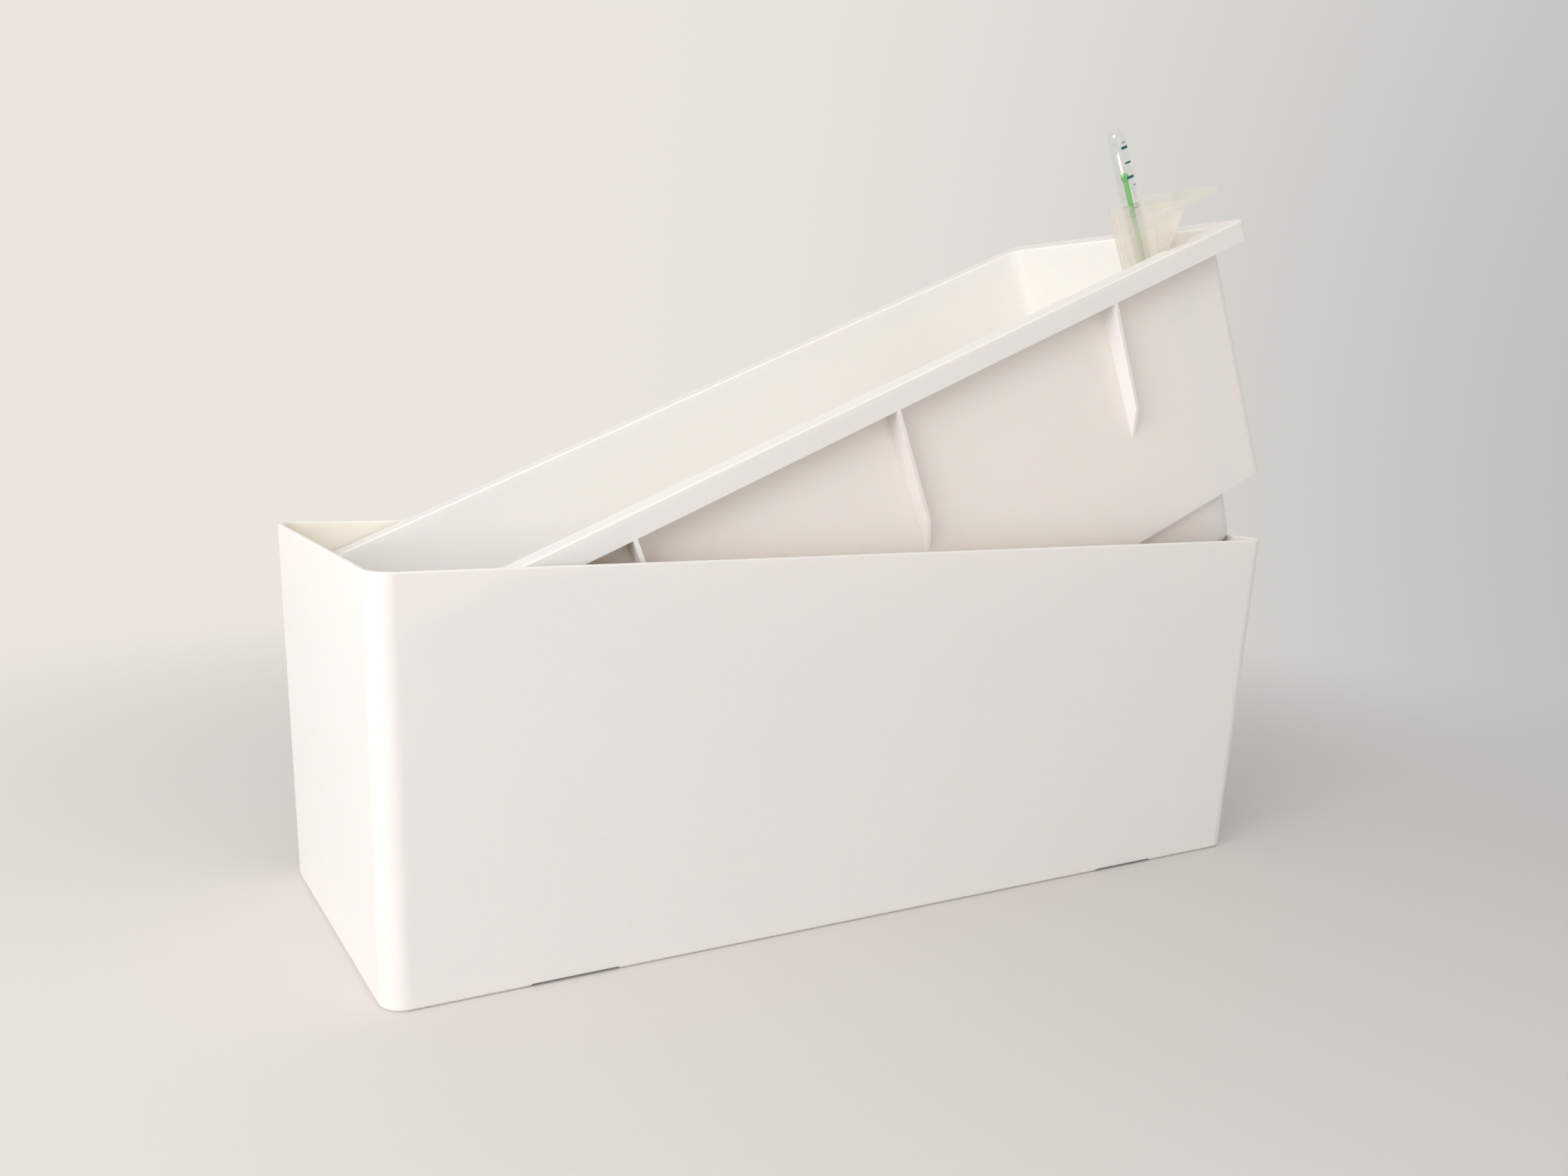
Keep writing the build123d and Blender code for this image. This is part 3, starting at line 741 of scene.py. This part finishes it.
class WINDOWBOX_OT_drain(bpy.types.Operator):
    """Build the drain plug and its seal"""

    bl_idname = "window_box.drain"
    bl_label = "Drain plug"

    def execute(self, context):
        white = context.scene.window_box_moulding
        plug = moulded_plastic("plug plastic", white.colour, roughness=0.4, grain=0.00002)
        rubber = moulded_plastic(
            "seal rubber", colour=(0.03, 0.03, 0.03), roughness=0.7, grain=0.00005, glow=0.0,
        )
        for node, name, slot, width, material in (
            ("drain_plug", "drain_plug_soft", "plug_plastic", PLUG_EDGE, plug),
            ("plug_seal", "plug_seal_soft", "seal_rubber", SEAL_EDGE, rubber),
        ):
            piece = finish_piece(name, softened_copy(node, width), material, "plug", [node])
            weigh_normals(piece)
        return {"FINISHED"}


class WINDOWBOX_OT_stage(bpy.types.Operator):
    """Lay the floor, hang the lights and place the camera"""

    bl_idname = "window_box.stage"
    bl_label = "Stage"

    def execute(self, context):
        stage = context.scene.window_box_stage
        scene = context.scene
        lay_floor(stage)
        light_sky(scene, stage)
        for name, place, aim, size, power in LAMPS:
            hang_light(name, place, aim, size, getattr(stage, power))
        place_camera(scene, stage)
        scene.view_settings.view_transform = "Standard"
        return {"FINISHED"}


def lay_floor(stage):
    """A wide round floor that fades out into the background; its colour is painted darker towards
    the right, painted shade of the lights' falloff.
    """
    mesh = bmesh.new()
    bmesh.ops.create_circle(mesh, cap_ends=True, radius=FLOOR_RADIUS, segments=96)
    data = bpy.data.meshes.new("floor")
    mesh.to_mesh(data)
    mesh.free()
    floor = bpy.data.objects.new("floor", data)
    bpy.context.scene.collection.objects.link(floor)
    material, tree, output = new_material("pale floor")
    place = add(tree, "ShaderNodeTexCoord").outputs["Object"]
    paint = add(tree, "ShaderNodeBsdfPrincipled")
    split = add(tree, "ShaderNodeSeparateXYZ")
    tree.links.new(place, split.inputs["Vector"])
    # Painted shade: the floor is darker towards the right.
    rightward = carried(tree, split.outputs["X"], FLOOR_SHADE_SPAN)
    shade = tinted(tree, rightward, tuple(stage.floor_lit_left), tuple(stage.floor_shaded_right))
    tree.links.new(shade, paint.inputs["Base Color"])
    shine = spread(tree, noise(tree, place, scale=300.0), low=0.7, high=0.8)
    tree.links.new(shine, paint.inputs["Roughness"])
    far = add(tree, "ShaderNodeVectorMath", operation="LENGTH")
    tree.links.new(place, far.inputs[0])
    fade = carried(tree, far.outputs["Value"], FLOOR_FADE, kind="SMOOTHSTEP")
    gone = add(tree, "ShaderNodeBsdfTransparent")
    surface = mixed(tree, fade, paint.outputs["BSDF"], gone.outputs["BSDF"])
    tree.links.new(surface, output.inputs["Surface"])
    data.materials.append(material)


def light_sky(scene, stage):
    """Even light from all round, and a pale background where the camera, gloss or glass sees it,
    painted darker towards the right as painted shade.
    """
    world = bpy.data.worlds.new("even light")
    scene.world = world
    world.use_nodes = True
    tree = world.node_tree
    tree.nodes.clear()
    output = add(tree, "ShaderNodeOutputWorld")
    sky = add(tree, "ShaderNodeBackground", {"Color": (*WARM_WHITE, 1.0), "Strength": stage.sky})
    backdrop = add(tree, "ShaderNodeBackground", {"Strength": 1.0})
    split = add(tree, "ShaderNodeSeparateXYZ")
    tree.links.new(add(tree, "ShaderNodeTexCoord").outputs["Generated"], split.inputs["Vector"])
    # Painted shade: the background is darker towards the right.
    falling = add(tree, "ShaderNodeMath", {1: BACKDROP_SHADE_FALL}, operation="POWER")
    tree.links.new(carried(tree, split.outputs["X"], BACKDROP_SHADE_SPAN), falling.inputs[0])
    left, right = tuple(stage.backdrop_lit_left), tuple(stage.backdrop_shaded_right)
    tree.links.new(tinted(tree, falling.outputs["Value"], left, right), backdrop.inputs["Color"])
    rays = add(tree, "ShaderNodeLightPath")
    seen = add(tree, "ShaderNodeMath", operation="MAXIMUM")
    seen_through = add(tree, "ShaderNodeMath", operation="MAXIMUM")
    tree.links.new(rays.outputs["Is Camera Ray"], seen.inputs[0])
    tree.links.new(rays.outputs["Is Glossy Ray"], seen.inputs[1])
    tree.links.new(seen.outputs["Value"], seen_through.inputs[0])
    tree.links.new(rays.outputs["Is Transmission Ray"], seen_through.inputs[1])
    unseen, behind = sky.outputs["Background"], backdrop.outputs["Background"]
    light = mixed(tree, seen_through.outputs["Value"], unseen, behind)
    tree.links.new(light, output.inputs["Surface"])


def hang_light(name, place, aim, size, power):
    """An oblong area light at a place, turned to a point."""
    lamp = bpy.data.lights.new(name, "AREA")
    lamp.energy = power
    lamp.shape = "RECTANGLE"
    lamp.size, lamp.size_y = size
    lamp.color = WARM_WHITE
    holder = bpy.data.objects.new(name, lamp)
    bpy.context.scene.collection.objects.link(holder)
    turn = (Vector(aim) - Vector(place)).to_track_quat("-Z", "Y").to_matrix().to_4x4()
    holder.matrix_world = Matrix.Translation(place) @ turn


def place_camera(scene, stage):
    """The camera, from its stand, turn, look down and roll."""
    view = bpy.data.cameras.new("camera")
    view.sensor_width = 36.0
    view.sensor_fit = "HORIZONTAL"
    view.lens = stage.lens
    view.clip_start = 0.01
    holder = bpy.data.objects.new("camera", view)
    scene.collection.objects.link(holder)
    turn, down, roll = stage.aim
    level = Matrix.Rotation(-turn, 4, "Z") @ Matrix.Rotation(pi / 2 - down, 4, "X")
    holder.matrix_world = Matrix.Translation(stage.eye) @ level @ Matrix.Rotation(roll, 4, "Z")
    scene.camera = holder


class WINDOWBOX_PT_panel(bpy.types.Panel):
    """Lists the window box's pieces in the 3D view's sidebar"""

    bl_idname = "WINDOWBOX_PT_panel"
    bl_label = "Window Box"
    bl_space_type = "VIEW_3D"
    bl_region_type = "UI"
    bl_category = "Window Box"

    def draw(self, context):
        for operator in OPERATORS:
            self.layout.operator(operator.bl_idname)


SETTINGS = {
    "window_box_moulding": MouldingSettings,
    "window_box_gauge": GaugeSettings,
    "window_box_stage": StageSettings,
}
OPERATORS = (
    WINDOWBOX_OT_stage,
    WINDOWBOX_OT_trough,
    WINDOWBOX_OT_liner,
    WINDOWBOX_OT_filler,
    WINDOWBOX_OT_gauge,
    WINDOWBOX_OT_marks,
    WINDOWBOX_OT_drain,
)


def register():
    """Registers the settings, the operators and the panel."""
    for name, group in SETTINGS.items():
        bpy.utils.register_class(group)
        setattr(bpy.types.Scene, name, bpy.props.PointerProperty(type=group))
    for operator in OPERATORS:
        bpy.utils.register_class(operator)
    bpy.utils.register_class(WINDOWBOX_PT_panel)


def unregister():
    """Takes the panel, the operators and the settings away again."""
    bpy.utils.unregister_class(WINDOWBOX_PT_panel)
    for operator in reversed(OPERATORS):
        bpy.utils.unregister_class(operator)
    for name, group in SETTINGS.items():
        delattr(bpy.types.Scene, name)
        bpy.utils.unregister_class(group)


def main():
    """Builds every piece and the stage."""
    register()
    for operator in OPERATORS:
        group, name = operator.bl_idname.split(".")
        getattr(getattr(bpy.ops, group), name)()
    bpy.context.view_layer.update()


if __name__ == "__main__":
    main()
